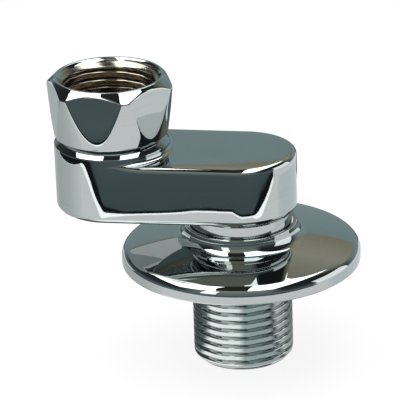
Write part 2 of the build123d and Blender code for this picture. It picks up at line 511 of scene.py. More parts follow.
# %% [markdown]
# ## The union nut
#
# The nut is a hexagon that was turned on a lathe as well: a cone narrows it towards the boss and a chamfer
# cuts its upper corners, so each flat keeps the outline of a shield. In polar form this is the smallest of
# three radii: the hexagon, the cone and the chamfer. The columns slide along with the shield's outline, so
# that its edge always runs along a column and stays crisp.

# %% Outside of the nut
NUT_BOTTOM, CHAMFER_FROM, NUT_TOP = 27.3, 37.95, 40.0
FLAT_RADIUS = 12.0
CONE_BOTTOM, CONE_TOP = 11.775, 13.37
RIM_RADIUS, MOUTH_RADIUS = 11.3, 10.9
LATHE_BLEND, SHIELD_BLEND = 0.22, 0.26
SECTOR = np.pi / 3
CORNER_ANGLE, NARROW_FLAT = np.radians([-6.4, 1.5])
FIRST_FLAT = CORNER_ANGLE + SECTOR / 2
FLAT_COLUMNS, CORNER_COLUMNS = 26, 20


def lathe_radius(z):
    """Cone radius, growing evenly with height, and chamfer radius, shrinking evenly: the smaller, rounded."""
    cone = CONE_BOTTOM + (CONE_TOP - CONE_BOTTOM) * (z - NUT_BOTTOM) / (CHAMFER_FROM - NUT_BOTTOM)
    chamfer = CONE_TOP - (CONE_TOP - RIM_RADIUS) * (z - CHAMFER_FROM) / (NUT_TOP - CHAMFER_FROM)
    return soft_min(cone, chamfer, LATHE_BLEND)


def nut_angles(half_flat):
    """Angles of all columns, six sectors round, by rows: each row has its own half width of a flat.

    Within a flat the column stands at half_flat sin(u), which crowds the columns at its two edges. Between
    flats it stands at half_flat + (60 degrees - 2 half_flat) (1 - cos v) / 2, which crowds both ends too."""
    half_flat = np.reshape(half_flat, (-1, 1))
    u = np.linspace(-np.pi / 2, np.pi / 2, FLAT_COLUMNS, endpoint=False)
    v = np.linspace(0, np.pi, CORNER_COLUMNS, endpoint=False)
    corner = half_flat + (SECTOR - 2 * half_flat) * (1 - np.cos(v)) / 2
    sector = np.hstack([half_flat * np.sin(u), corner])
    return (np.arange(6)[:, None] * SECTOR + sector[:, None, :]).reshape(len(sector), -1)


def hexagon_radius(flat, angle):
    """Radius of a hexagon in a direction: flat / cos(a), with a from the middle of the nearest flat."""
    from_flat = (angle + SECTOR / 2) % SECTOR - SECTOR / 2
    return flat / np.cos(from_flat)


def nut_rings(radius, height, angle):
    """Rows round the nut's axis, with angles that count from the middle of its first flat."""
    return rings(-OFFSET, radius, height, angle + FIRST_FLAT)


def shield_rows(z):
    """Rows of the nut's outside: the smaller of hexagon and lathe, with columns along the shields' edges."""
    lathe = lathe_radius(z)
    shield = np.arccos(np.clip(FLAT_RADIUS / lathe, -1, 1))
    angle = nut_angles(np.maximum(shield, NARROW_FLAT))
    return nut_rings(soft_min(hexagon_radius(FLAT_RADIUS, angle), lathe, SHIELD_BLEND), z, angle)


print("nut over its corners mm:", round(2 * lathe_radius(CHAMFER_FROM), 2))

# %% [markdown]
# The shield's outline turns quickly at its point and under its top, so the rows are closer there. Heel and
# rim are plain circles: on the way to them the columns go back to even spacing.

# %% Rows of the nut's outside
WEB_HOLE, WEB_BEVEL = 8.5, 0.3
HEEL_ROUNDING, RIM_SOFTENING = 0.5, 0.2
RIM_NEAR, CORNER_NEAR = 0.08, 0.06
POINT_ROWS, MIDDLE_ROWS, CROWN_ROWS = (27.75, 29.6, 22), (29.7, 37.3, 30), (37.36, 39.36, 46)
RIM_FROM = 39.40
EVEN_FLAT = np.radians(30 * FLAT_COLUMNS / (FLAT_COLUMNS + CORNER_COLUMNS))
even_angles, narrow_angles = nut_angles(EVEN_FLAT), nut_angles(NARROW_FLAT)


def nut_circles(section, start, end):
    """Circles of a section, while the columns move evenly from one set of angles to another."""
    share = np.linspace(0, 1, len(section))[:, None]
    return nut_rings(section[:, :1], section[:, 1:], start + (end - start) * share)


def nut_outer_rows():
    """From the web's hole out along the bottom, round the heel, up the shields and over the rim."""
    tilt = np.arctan2(CONE_TOP - CONE_BOTTOM, CHAMFER_FROM - NUT_BOTTOM)
    heel = CONE_BOTTOM - HEEL_ROUNDING * (1 - np.sin(tilt)) / np.cos(tilt)
    bottom = chain(
        straight((WEB_HOLE, NUT_BOTTOM + WEB_BEVEL), (WEB_HOLE + WEB_BEVEL, NUT_BOTTOM), 1),
        straight((WEB_HOLE + WEB_BEVEL, NUT_BOTTOM), (heel, NUT_BOTTOM), 3),
        arc((heel, NUT_BOTTOM + HEEL_ROUNDING), HEEL_ROUNDING, -90, -np.degrees(tilt), 8),
    )
    z = np.concatenate([np.linspace(*rows) for rows in (POINT_ROWS, MIDDLE_ROWS, CROWN_ROWS)])[:, None]
    low = NUT_TOP - RIM_SOFTENING
    rim = chain(
        straight((lathe_radius(RIM_FROM), RIM_FROM), (RIM_RADIUS + RIM_NEAR, NUT_TOP - RIM_NEAR), 5),
        arc((RIM_RADIUS - CORNER_NEAR, low), RIM_SOFTENING, 45, 90, 4),
        arc((MOUTH_RADIUS + CORNER_NEAR, low), RIM_SOFTENING, 90, 135, 4),
    )
    return np.concatenate([
        nut_circles(bottom, even_angles, narrow_angles),
        shield_rows(z),
        nut_circles(rim, narrow_angles, even_angles),
    ])


nut_outer = nut_outer_rows()
print("rows of the nut's outside:", len(nut_outer))

# %% [markdown]
# Inside, the mouth has a wide bevel that leads the pipe in, then the thread, then a plain relief where the
# washer lies, and a web at the bottom with a hole for the tail. The marks are those of the body: one for the
# roots of the thread and one for the inside.

# %% Inside of the nut, and the whole nut
WEB_TOP, RELIEF_TOP, RELIEF_RADIUS = 29.0, 32.6, 10.6275
RELIEF_CORNER, WEB_EDGE, RELIEF_NEAR, WEB_NEAR = 0.3, 0.15, 0.2, 0.35
BEVEL_ROWS, THREAD_FROM = (39.78, 38.5, 9), 38.4
NUT_THREAD_ROWS_PER_TURN = 14
NUT_RUN_OUT_BELOW, NUT_RUN_OUT_ABOVE = 0.1, 1.7
BEVEL_ROWS_PLATED = 3


def nut_inner_rows():
    """Bevel, thread, relief and web: the thread's radius, or the bevel's where that is wider.

    The bevel's radius is the mouth's less the depth below the rim. The thread widens to the relief in its
    run-out."""
    threads = np.arange(THREAD_FROM, RELIEF_TOP, -PITCH / NUT_THREAD_ROWS_PER_TURN)
    z = np.concatenate([np.linspace(*BEVEL_ROWS), threads])[:, None]
    bevel = MOUTH_RADIUS - (NUT_TOP - z)
    thread = MAJOR_RADIUS - THREAD_DEPTH * thread_height(even_angles + FIRST_FLAT, z)
    radius = -soft_min(-thread, -bevel, THREAD_CUT_BLEND)
    plain = 1 - fade(z, RELIEF_TOP - NUT_RUN_OUT_BELOW, RELIEF_TOP + NUT_RUN_OUT_ABOVE)
    radius = radius + (RELIEF_RADIUS - radius) * plain
    corner = RELIEF_RADIUS - RELIEF_CORNER
    relief = chain(
        straight((RELIEF_RADIUS, RELIEF_TOP - RELIEF_NEAR), (RELIEF_RADIUS, WEB_TOP + RELIEF_CORNER), 2),
        arc((corner, WEB_TOP + RELIEF_CORNER), RELIEF_CORNER, 0, -90, 4),
        straight((corner, WEB_TOP), (WEB_HOLE + WEB_EDGE, WEB_TOP), 2),
        straight((WEB_HOLE + WEB_EDGE, WEB_TOP), (WEB_HOLE, WEB_TOP - WEB_EDGE), 1),
        straight((WEB_HOLE, WEB_TOP - WEB_EDGE), (WEB_HOLE, NUT_BOTTOM + WEB_NEAR), 2),
    )
    return np.concatenate([nut_rings(radius, z, even_angles), nut_circles(relief, even_angles, even_angles)])


nut_grid = np.concatenate([nut_outer, nut_inner_rows()])
from_nut = np.hypot(nut_grid[..., 0] + OFFSET, nut_grid[..., 1])
inner_mark = np.zeros((len(nut_grid), 1))
inner_mark[len(nut_outer) + BEVEL_ROWS_PLATED:] = 1
nut_root = inner_mark * np.clip((from_nut - MINOR_RADIUS) / THREAD_DEPTH, 0, 1)
nut = ring_piece("union_nut_polished", nut_grid, root=nut_root, inside=inner_mark)

# %% [markdown]
# ## The rosette
#
# The cover plate is spun from sheet over a form, so its inner side follows the outer one at the sheet's
# thickness. The same arc centres serve both sides: where the outside is hollow the inside is fuller by one
# thickness, and where the outside is full the inside is tighter. A Solidify modifier would do nearly the
# same, but would not round the cut edges.

# %% Rosette
RIM, SHEET, CUT_EDGE = 25.0, 0.8, 0.25
LIP_TOP, DOME_FOOT, SHOULDER = 8.6, 5.55, 3.3
FLARE, RIM_ROUNDING = 2.5, 2.0
ROSETTE_CLEARANCE = 0.2
ROSETTE_COLUMNS = 320


def rosette_section():
    """Upright lip, hollow flare, spherical dome and rounded rim; inside, radii that differ by the sheet.

    The sphere's centre lies on the axis, at equal distance from the shoulder and from the foot of the lip.
    Flare and rim touch the sphere, so their centres lie at its radius plus or minus their own."""
    hole = NECK_RADIUS + ROSETTE_CLEARANCE
    lip = hole + SHEET
    centre = (DOME_FOOT + SHOULDER) / 2 - (RIM**2 - lip**2) / (2 * (DOME_FOOT - SHOULDER))
    dome = np.hypot(RIM, SHOULDER - centre)
    flare = (lip + FLARE, centre + np.sqrt((dome + FLARE) ** 2 - (lip + FLARE) ** 2))
    rim = (RIM - RIM_ROUNDING, centre + np.sqrt((dome - RIM_ROUNDING) ** 2 - (RIM - RIM_ROUNDING) ** 2))
    flare_tilt = np.degrees(np.arctan2(flare[1] - centre, flare[0]))
    rim_tilt = np.degrees(np.arctan2(rim[1] - centre, rim[0]))
    inner_rim, lip_edge = RIM - SHEET, LIP_TOP - CUT_EDGE
    return chain(
        arc((hole + CUT_EDGE, lip_edge), CUT_EDGE, 180, 90, 5),
        arc((lip - CUT_EDGE, lip_edge), CUT_EDGE, 90, 0, 5),
        straight((lip, lip_edge), (lip, flare[1]), 2),
        arc(flare, FLARE, 180, 180 + flare_tilt, 18),
        arc((0, centre), dome, flare_tilt, rim_tilt, 26),
        arc(rim, RIM_ROUNDING, rim_tilt, 0, 16),
        straight((RIM, rim[1]), (RIM, CUT_EDGE), 3),
        arc((RIM - CUT_EDGE, CUT_EDGE), CUT_EDGE, 0, -90, 5),
        arc((inner_rim + CUT_EDGE, CUT_EDGE), CUT_EDGE, -90, -180, 5),
        straight((inner_rim, CUT_EDGE), (inner_rim, rim[1]), 2),
        arc(rim, RIM_ROUNDING - SHEET, 0, rim_tilt, 8),
        arc((0, centre), dome - SHEET, rim_tilt, flare_tilt, 12),
        arc(flare, FLARE + SHEET, 180 + flare_tilt, 180, 10),
        straight((hole, flare[1]), (hole, lip_edge), 2),
    )


rosette = ring_piece("cover_rosette", turned(rosette_section(), 0, all_round(ROSETTE_COLUMNS)))

# %% [markdown]
# ## The tail and the washer
#
# Inside the nut a turned brass tail is screwed into the boss: its flange keeps the nut on, and a hexagon in
# its bore takes the key that tightened it. On the flange lies a fibre washer. Both are turned sections; only
# the key hole is not round, so there the inner radius is that of a hexagon with rounded corners.

# %% Tail
SPIGOT, COLLAR, FLANGE = 7.9, 8.25, 9.05
FLANGE_BOTTOM, FLANGE_TOP = 29.3, 30.8
FLANGE_INNER = 7.3
LOWER_SOFTENING, UPPER_SOFTENING = 0.15, 0.2
TAIL_BORE, TAIL_BEVEL, TAIL_EDGE = 5.5, 0.2, 0.1
KEY_FLAT, KEY_CORNER, KEY_BLEND = 6.0, 6.9, 0.15
KEY_DEPTH, KEY_BEVEL, KEY_NEAR = 4.0, 0.25, 0.4
TAIL_COLUMNS = 240


def tail_grid():
    """Turned outside; inside, the key's hexagon down to its depth and the round bore below it."""
    lower, upper = FLANGE - LOWER_SOFTENING, FLANGE - UPPER_SOFTENING
    outside = chain(
        straight((SPIGOT - TAIL_BEVEL, CHANNEL_TOP), (SPIGOT, CHANNEL_TOP + TAIL_BEVEL), 1),
        straight((SPIGOT, CHANNEL_TOP + TAIL_BEVEL), (SPIGOT, BOSS_TOP), 3),
        straight((SPIGOT, BOSS_TOP), (COLLAR, BOSS_TOP), 1),
        straight((COLLAR, BOSS_TOP), (COLLAR, FLANGE_BOTTOM), 2),
        straight((COLLAR, FLANGE_BOTTOM), (lower, FLANGE_BOTTOM), 1),
        arc((lower, FLANGE_BOTTOM + LOWER_SOFTENING), LOWER_SOFTENING, -90, 0, 4),
        arc((upper, FLANGE_TOP - UPPER_SOFTENING), UPPER_SOFTENING, 0, 90, 5),
        straight((upper, FLANGE_TOP), (FLANGE_INNER, FLANGE_TOP), 2),
    )
    angle = all_round(TAIL_COLUMNS)
    key = soft_min(hexagon_radius(KEY_FLAT, angle), KEY_CORNER, KEY_BLEND)
    low = FLANGE_TOP - KEY_DEPTH
    key_heights = by_row(FLANGE_TOP, FLANGE_TOP - KEY_BEVEL, FLANGE_TOP - KEY_NEAR, low + TAIL_EDGE, low)
    key_wider = by_row(KEY_BEVEL, 0, 0, 0, 0)
    bore = [
        (TAIL_BORE, low), (TAIL_BORE, low - TAIL_EDGE), (TAIL_BORE, CHANNEL_TOP + TAIL_EDGE),
        (TAIL_BORE + TAIL_EDGE, CHANNEL_TOP), (SPIGOT - TAIL_BEVEL - TAIL_EDGE, CHANNEL_TOP),
    ]
    return np.concatenate([
        turned(outside, -OFFSET, angle),
        rings(-OFFSET, key + key_wider, key_heights, angle),
        turned(bore, -OFFSET, angle),
    ])


tail = ring_piece("union_tail_turned", tail_grid())

# %% [markdown]
# The washer is punched from sheet, so its section is a rectangle whose corners are slightly rounded by use.

# %% Washer
WASHER_HOLE, WASHER_OUTSIDE, WASHER_THICKNESS, WASHER_SOFTENING = 7.0, 9.2, 1.5, 0.22
WASHER_COLUMNS = 192


def washer_section():
    """A rectangle with a quarter circle at each corner."""
    inner, outer, soft = WASHER_HOLE, WASHER_OUTSIDE, WASHER_SOFTENING
    low, high = FLANGE_TOP, FLANGE_TOP + WASHER_THICKNESS
    return chain(
        arc((inner + soft, low + soft), soft, -90, -180, 4),
        straight((inner, low + soft), (inner, high - soft), 1),
        arc((inner + soft, high - soft), soft, 180, 90, 4),
        straight((inner + soft, high), (outer - soft, high), 3),
        arc((outer - soft, high - soft), soft, 90, 0, 4),
        straight((outer, high - soft), (outer, low + soft), 1),
        arc((outer - soft, low + soft), soft, 0, -90, 4),
        straight((outer - soft, low), (inner + soft, low), 2),
    )


washer = ring_piece("sealing_washer_fibre", turned(washer_section(), -OFFSET, all_round(WASHER_COLUMNS)))

# %% [markdown]
# ## Finishes
#
# A material is a small program of nodes. Most steps are the same few: a noise, a change of range, a blend of
# two colours, a sum. Each gets a short function here, and a value may be a number, a colour or another node's
# socket, so that the finishes below read like sentences.

# %% Node helpers
def feed(tree, socket, value):
    """Gives a socket its value: another socket by a link, a number as it is, a colour with full alpha."""
    if isinstance(value, bpy.types.NodeSocket):
        tree.links.new(value, socket)
    elif np.isscalar(value):
        socket.default_value = value
    else:
        socket.default_value = (*value, 1.0)


def noise(tree, vector, scale, detail=2.0, roughness=0.5):
    """A noise texture on the given coordinates."""
    node = tree.nodes.new("ShaderNodeTexNoise")
    for label, value in (("Vector", vector), ("Scale", scale), ("Detail", detail), ("Roughness", roughness)):
        feed(tree, node.inputs[label], value)
    return node.outputs["Fac"]


def remap(tree, value, low, high, to_low, to_high):
    """Maps a range of a value evenly to another range and clamps it."""
    node = tree.nodes.new("ShaderNodeMapRange")
    labels = ("Value", "From Min", "From Max", "To Min", "To Max")
    for label, number in zip(labels, (value, low, high, to_low, to_high)):
        feed(tree, node.inputs[label], number)
    return node.outputs["Result"]


def mix_colour(tree, factor, first, second):
    """Blends two colours: first (1 - factor) + second factor."""
    node = tree.nodes.new("ShaderNodeMix")
    node.data_type = "RGBA"
    for number, value in ((0, factor), (6, first), (7, second)):
        feed(tree, node.inputs[number], value)
    return node.outputs[2]


def calculate(tree, operation, *values):
    """One step of arithmetic on values or sockets."""
    node = tree.nodes.new("ShaderNodeMath")
    node.operation = operation
    for socket, value in zip(node.inputs, values):
        feed(tree, socket, value)
    return node.outputs[0]


print("nodes of Blender", bpy.app.version_string)

# %% [markdown]
# Polished plate is never a perfect mirror: the casting below it is a little wavy, and polishing leaves faint
# hair lines that catch light. All chrome pieces share these effects, so they live in one node group with
# named inputs. It puts out a height for a Bump node, a roughness and a tint; the shader stays in each
# material, where an exporter can find it. The tint is a neutral grey that returns about half of the light, a
# little less in the red.

# %% The polished plate group
PLATE_LIGHT, PLATE_DARK = (0.475, 0.51, 0.505), (0.44, 0.477, 0.473)
HAIR_TINT, SPECK_TINT = (0.36, 0.39, 0.385), (0.30, 0.29, 0.28)
HAIR_STRETCH = (0.1, 0.1, 3.0)
HAIR_SCALE, SPECK_SCALE, CLOUD_SCALE = 900.0, 1600.0, 55.0
HAIR_ROUGHNESS = 0.04


def polished_plate_group():
    """Wavy casting plus fine hair lines: height, roughness and tint from noises on Object coordinates.

    Hair lines are where a noise that is squeezed along z and drawn out across it is high. They add to the
    roughness and darken the tint."""
    group = bpy.data.node_groups.new("polished_plate", "ShaderNodeTree")
    for label, value in (("Wave Size", 90.0), ("Hair Lines", 0.5), ("Base Roughness", 0.012)):
        socket = group.interface.new_socket(label, in_out="INPUT", socket_type="NodeSocketFloat")
        socket.default_value = value
    for label, kind in (("Height", "Float"), ("Roughness", "Float"), ("Tint", "Color")):
        group.interface.new_socket(label, in_out="OUTPUT", socket_type="NodeSocket" + kind)
    given = group.nodes.new("NodeGroupInput").outputs
    result = group.nodes.new("NodeGroupOutput").inputs
    place = group.nodes.new("ShaderNodeTexCoord").outputs["Object"]

    stretch = group.nodes.new("ShaderNodeMapping")
    stretch.inputs["Scale"].default_value = HAIR_STRETCH
    feed(group, stretch.inputs["Vector"], place)
    hair = noise(group, stretch.outputs["Vector"], HAIR_SCALE, 3.0)
    lines = calculate(group, "MULTIPLY", remap(group, hair, 0.52, 0.75, 0.0, 1.0), given["Hair Lines"])
    rough = calculate(group, "MULTIPLY_ADD", lines, HAIR_ROUGHNESS, given["Base Roughness"])

    speck = remap(group, noise(group, place, SPECK_SCALE, 1.0), 0.70, 0.78, 0.0, 0.35)
    tint = mix_colour(group, noise(group, place, CLOUD_SCALE, 3.0), PLATE_LIGHT, PLATE_DARK)
    tint = mix_colour(group, remap(group, lines, 0.0, 1.0, 0.0, 0.5), tint, HAIR_TINT)
    tint = mix_colour(group, speck, tint, SPECK_TINT)
    feed(group, result["Height"], noise(group, place, given["Wave Size"], 1.5))
    feed(group, result["Roughness"], rough)
    feed(group, result["Tint"], tint)
    return group


plate_group = polished_plate_group()
print("plate group outputs:", [s.name for s in plate_group.interface.items_tree if s.in_out == "OUTPUT"])

# %% [markdown]
# Every finish starts in the same way: a Principled shader, which is metal or not, and the piece's own
# coordinates. Two more helpers go with it, one that reads a mark and one that turns a height into a bump.

# %% Start of a finish
def mark(tree, label):
    """An attribute of the mesh. Where a mesh has none of that name, it is 0."""
    node = tree.nodes.new("ShaderNodeAttribute")
    node.attribute_name = label
    return node.outputs["Fac"]


def bump(tree, height, distance):
    """A normal that leans with a height. The distance says how many metres a height of 1 is."""
    node = tree.nodes.new("ShaderNodeBump")
    feed(tree, node.inputs["Distance"], distance)
    feed(tree, node.inputs["Height"], height)
    return node.outputs["Normal"]


def new_material(name, metallic):
    """A material with its node tree, its shader's sockets and the Object coordinates of the piece."""
    material = bpy.data.materials.new(name)
    material.use_nodes = True
    tree = material.node_tree
    surface = tree.nodes["Principled BSDF"].inputs
    surface["Metallic"].default_value = metallic
    return material, tree, surface, tree.nodes.new("ShaderNodeTexCoord").outputs["Object"]


print("marks of the body:", [label for label in ("root", "inside") if label in body.data.attributes])

# %% [markdown]
# Chrome itself is a metal shader with that plate. Inside the bores the plate is thin, so the brass shows
# through.
# Towards the roots of the threads the colour turns darker and rougher. The meshes carry that as the two
# marks, root and inside, and the material blends them in.

# %% Chrome
BRASS_LIGHT, BRASS_DARK, ROOT_DARK_COLOUR = (0.52, 0.49, 0.42), (0.30, 0.28, 0.23), (0.12, 0.11, 0.09)
INSIDE_ROUGHNESS, ROOT_DARK_ROUGHNESS = 0.16, 0.15
STAIN_SCALE = 260.0


def chrome(name, wave_size, hair_lines, wave_height):
    """Polished plate with a bump for its waves; brass, and a darker colour at the thread roots, come in by
    the marks.
    """
    material, tree, surface, place = new_material(name, 1.0)
    plate = tree.nodes.new("ShaderNodeGroup")
    plate.node_tree = plate_group
    plate.inputs["Wave Size"].default_value = wave_size
    plate.inputs["Hair Lines"].default_value = hair_lines
    inside = mark(tree, "inside")
    # Darker and rougher towards the roots of the threads, following the root mark.
    root_darkening = remap(tree, mark(tree, "root"), 0.55, 1.0, 0.0, 0.45)

    brass = mix_colour(tree, noise(tree, place, STAIN_SCALE, 4.0), BRASS_LIGHT, BRASS_DARK)
    colour = mix_colour(tree, inside, plate.outputs["Tint"], brass)
    rough = calculate(tree, "MULTIPLY_ADD", inside, INSIDE_ROUGHNESS, plate.outputs["Roughness"])
    feed(tree, surface["Base Color"], mix_colour(tree, root_darkening, colour, ROOT_DARK_COLOUR))
    feed(tree, surface["Roughness"], calculate(tree, "MULTIPLY_ADD", root_darkening, ROOT_DARK_ROUGHNESS, rough))
    feed(tree, surface["Normal"], bump(tree, plate.outputs["Height"], wave_height))
    return material


body_chrome = chrome("chrome_body_polish", 70.0, 0.55, 0.00004)
nut_chrome = chrome("chrome_nut_polish", 90.0, 0.5, 0.00003)
rosette_chrome = chrome("chrome_rosette_spun", 60.0, 0.45, 0.00004)
print("chrome finishes:", body_chrome.name, nut_chrome.name, rosette_chrome.name)

# %% [markdown]
# The tail is bare turned brass with fine rings from the tool, which a wave texture draws about the nut's
# axis. The washer is pressed fibre, matt and speckled: dark red-brown with paler flecks, and a bump from the
# same flecks.

# %% Brass and fibre
TURNED_LIGHT, TURNED_DARK = (0.62, 0.50, 0.26), (0.44, 0.35, 0.18)
FIBRE_DARK, FIBRE_FLECK, FIBRE_PATCH = (0.075, 0.042, 0.036), (0.24, 0.165, 0.145), (0.17, 0.105, 0.09)
TURNED_SCALE, TOOL_RING_SCALE, FLECK_SCALE, PATCH_SCALE = 300.0, 1400.0, 2600.0, 420.0
TOOL_RING_HEIGHT, FLECK_HEIGHT = 0.00001, 0.00006


def turned_brass():
    """Brass with tool rings: a wave texture in rings about the upright axis through the nut."""
    material, tree, surface, place = new_material("brass_turned", 1.0)
    centred = tree.nodes.new("ShaderNodeMapping")
    centred.inputs["Location"].default_value = (OFFSET * MILLIMETRE, 0, 0)
    wave = tree.nodes.new("ShaderNodeTexWave")
    wave.wave_type = "RINGS"
    wave.rings_direction = "Z"
    wave.inputs["Scale"].default_value = TOOL_RING_SCALE
    wave.inputs["Distortion"].default_value = 0.6
    feed(tree, centred.inputs["Vector"], place)
    feed(tree, wave.inputs["Vector"], centred.outputs["Vector"])
    tool_rings = wave.outputs["Fac"]
    colour = mix_colour(tree, noise(tree, place, TURNED_SCALE, 4.0), TURNED_LIGHT, TURNED_DARK)
    feed(tree, surface["Base Color"], colour)
    feed(tree, surface["Roughness"], remap(tree, tool_rings, 0.0, 1.0, 0.18, 0.32))
    feed(tree, surface["Normal"], bump(tree, tool_rings, TOOL_RING_HEIGHT))
    return material


def pressed_fibre():
    """Matt fibre: two sizes of noise for flecks and patches, and a bump from the flecks."""
    material, tree, surface, place = new_material("fibre_pressed", 0.0)
    flecks = noise(tree, place, FLECK_SCALE, 3.0, 0.7)
    patches = noise(tree, place, PATCH_SCALE, 2.0)
    colour = mix_colour(tree, remap(tree, flecks, 0.35, 0.68, 0.0, 1.0), FIBRE_DARK, FIBRE_FLECK)
    colour = mix_colour(tree, remap(tree, patches, 0.4, 0.7, 0.0, 0.5), colour, FIBRE_PATCH)
    feed(tree, surface["Base Color"], colour)
    feed(tree, surface["Roughness"], remap(tree, flecks, 0.3, 0.7, 0.92, 0.72))
    feed(tree, surface["Normal"], bump(tree, flecks, FLECK_HEIGHT))
    return material


tail_brass, washer_fibre = turned_brass(), pressed_fibre()
print("other finishes:", tail_brass.name, washer_fibre.name)

# %% [markdown]
# Each piece now gets its finish, rides on the body that carries it, and stands for its solid. The nut and the
# rosette ride on bodies of their own, because they move.

# %% Dress the pieces
for piece, carrier, node, slot, material in (
    (body, "fitting", "body", "chrome_body", body_chrome),
    (tail, "fitting", "union_tail", "tail_brass", tail_brass),
    (washer, "fitting", "sealing_washer", "fibre", washer_fibre),
    (nut, "nut", "union_nut", "chrome_nut", nut_chrome),
    (rosette, "cover", "rosette", "chrome_rosette", rosette_chrome),
):
    piece.data.materials.append(material)
    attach(piece, carrier)
    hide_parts(node)
    print(piece.name, "rides on", carrier)

# %% [markdown]
# ## Camera
#
# The photograph looks down at the fitting by 22 degrees, a little from the right, through a long lens and
# with a slight roll. A camera's matrix holds its right, up and back directions as columns, so it can be
# written down directly from those angles.

# %% Camera
VIEW_TURN, VIEW_DOWN, ROLL = np.radians([8.85, 22.06, 1.9])
AIM, DISTANCE = (-8.38, 0, 12.63), 0.6
LENS, SENSOR = 259.2, 36.0

across = Vector((np.cos(VIEW_TURN), np.sin(VIEW_TURN), 0))
towards = Vector((np.sin(VIEW_TURN), -np.cos(VIEW_TURN), 0))
back = towards * np.cos(VIEW_DOWN) + Vector((0, 0, np.sin(VIEW_DOWN)))
above = back.cross(across)
right = across * np.cos(ROLL) - above * np.sin(ROLL)
up = above * np.cos(ROLL) + across * np.sin(ROLL)
eye = Vector(AIM) * MILLIMETRE + back * DISTANCE

lens = bpy.data.cameras.new("view")
lens.lens, lens.sensor_width = LENS, SENSOR
lens.clip_start, lens.clip_end = 0.01, 10.0
camera = add_object("view", lens)
camera.matrix_world = Matrix((*zip(right, up, back, eye), (0, 0, 0, 1)))
bpy.context.scene.camera = camera
print("camera at", [round(v, 3) for v in eye])

# %% [markdown]
# ## A studio for chrome
#
# Chrome has hardly any colour of its own: it shows the room. A product photographer therefore builds the room
# round it. The fitting stands on white paper that ends in front of it, beyond which the room is dark, and two
# soft lamps hang close above with a gap between them. The paper's edge draws the dark panels on the flats and
# on the arm, with a painted light line along them: a strip at the paper's edge that glows brighter than the
# paper.
#
# Floor, ribbons and cards are open grids in the studio's own directions, which follow the camera's turn.

# %% Stage pieces
def stage_grid(name, side, front, height, **marks):
    """An open grid: side metres to the right, front metres towards the camera, and a height."""
    side, front, height = np.broadcast_arrays(side, front, height)
    points = side[..., None] * np.array(across) + front[..., None] * np.array(towards)
    points[..., 2] += height
    number = np.arange(side.size).reshape(side.shape)
    quads = np.stack([number[:-1, :-1], number[:-1, 1:], number[1:, 1:], number[1:, :-1]], axis=-1)
    mesh = bpy.data.meshes.new(name)
    mesh.from_pydata(points.reshape(-1, 3).tolist(), [], quads.reshape(-1, 4).tolist())
    add_marks(mesh, side.shape, marks)
    plane = add_object(name, mesh)
    return plane


def bare_material(name):
    """A material with nothing but its output."""
    material = bpy.data.materials.new(name)
    material.use_nodes = True
    tree = material.node_tree
    tree.nodes.clear()
    return material, tree, tree.nodes.new("ShaderNodeOutputMaterial").inputs["Surface"]


print("studio faces the camera along", [round(v, 3) for v in towards])

# %% [markdown]
# The paper is lit softly. For the camera, and in mirrors and glass, it is mostly a plain white of strength 1,
# so that it reads as a white background. The rest is a plain matt surface, which keeps the fitting's shadow.

# %% White paper
PLAIN_SHARE = 0.88
PAPER_COLOUR = (0.92, 0.92, 0.92)
FLOOR = STUB_END * MILLIMETRE
FLOOR_REACH = (-3.0, 3.0)


def paper_white():
    """Matt white, blended with plain white by PLAIN_SHARE for camera rays, mirror rays and glass rays."""
    material, tree, surface = bare_material("paper_white")
    lit = tree.nodes.new("ShaderNodeBsdfDiffuse")
    feed(tree, lit.inputs["Color"], PAPER_COLOUR)
    plain = tree.nodes.new("ShaderNodeEmission")
    path = tree.nodes.new("ShaderNodeLightPath").outputs
    mirrors = calculate(tree, "MAXIMUM", path["Is Glossy Ray"], path["Is Transmission Ray"])
    seen = calculate(tree, "MAXIMUM", path["Is Camera Ray"], mirrors)
    blend = tree.nodes.new("ShaderNodeMixShader")
    feed(tree, blend.inputs[0], calculate(tree, "MULTIPLY", seen, PLAIN_SHARE))
    feed(tree, blend.inputs[1], lit.outputs[0])
    feed(tree, blend.inputs[2], plain.outputs[0])
    feed(tree, surface, blend.outputs[0])
    return material


floor = stage_grid("paper_floor", *np.meshgrid(FLOOR_REACH, FLOOR_REACH[::-1]), FLOOR)
floor.data.materials.append(paper_white())
print("floor at", FLOOR)

# %% [markdown]
# Everything else in the studio is seen only by the chrome. Such a card glows by itself, with a tone that a
# colour ramp takes from a mark of its mesh, and it is hidden from the camera and from the light.

# %% Cards that only reflections show
def ramp_colour(tree, value, steps):
    """Colour ramp through (position, colour) steps."""
    node = tree.nodes.new("ShaderNodeValToRGB")
    elements = node.color_ramp.elements
    for element, (position, colour) in zip(elements, (steps[0], steps[-1])):
        element.position, element.color = position, (*colour, 1)
    for position, colour in steps[1:-1]:
        elements.new(position).color = (*colour, 1)
    feed(tree, node.inputs["Fac"], value)
    return node.outputs["Color"]


def glow_by_mark(name, label, low, high, steps):
    """A plain glow whose colour follows a mark of the mesh through a ramp."""
    material, tree, surface = bare_material(name)
    glow = tree.nodes.new("ShaderNodeEmission")
    share = remap(tree, mark(tree, label), low, high, 0.0, 1.0)
    feed(tree, glow.inputs["Color"], ramp_colour(tree, share, steps))
    feed(tree, surface, glow.outputs[0])
    return material


def only_in_reflections(card, glow):
    """A card that the chrome sees, and neither the camera nor the light does."""
    card.data.materials.append(glow)
    card.visible_camera = card.visible_diffuse = card.visible_shadow = False
    print(card.name, "faces:", len(card.data.polygons))


print("materials so far:", len(bpy.data.materials))

# %% [markdown]
# The dark room beyond the paper is a ribbon that lies a hair above the floor. The paper's reach depends on
# the direction, counted in degrees from the camera's side: a least reach, and three smooth steps that add to
# it towards the left and the right. The rows of the ribbon lie at set distances beyond that reach, and the
# distance is the mark that becomes its tone. A second ribbon, behind, gives the back of the fitting a dark
# panel of its own.

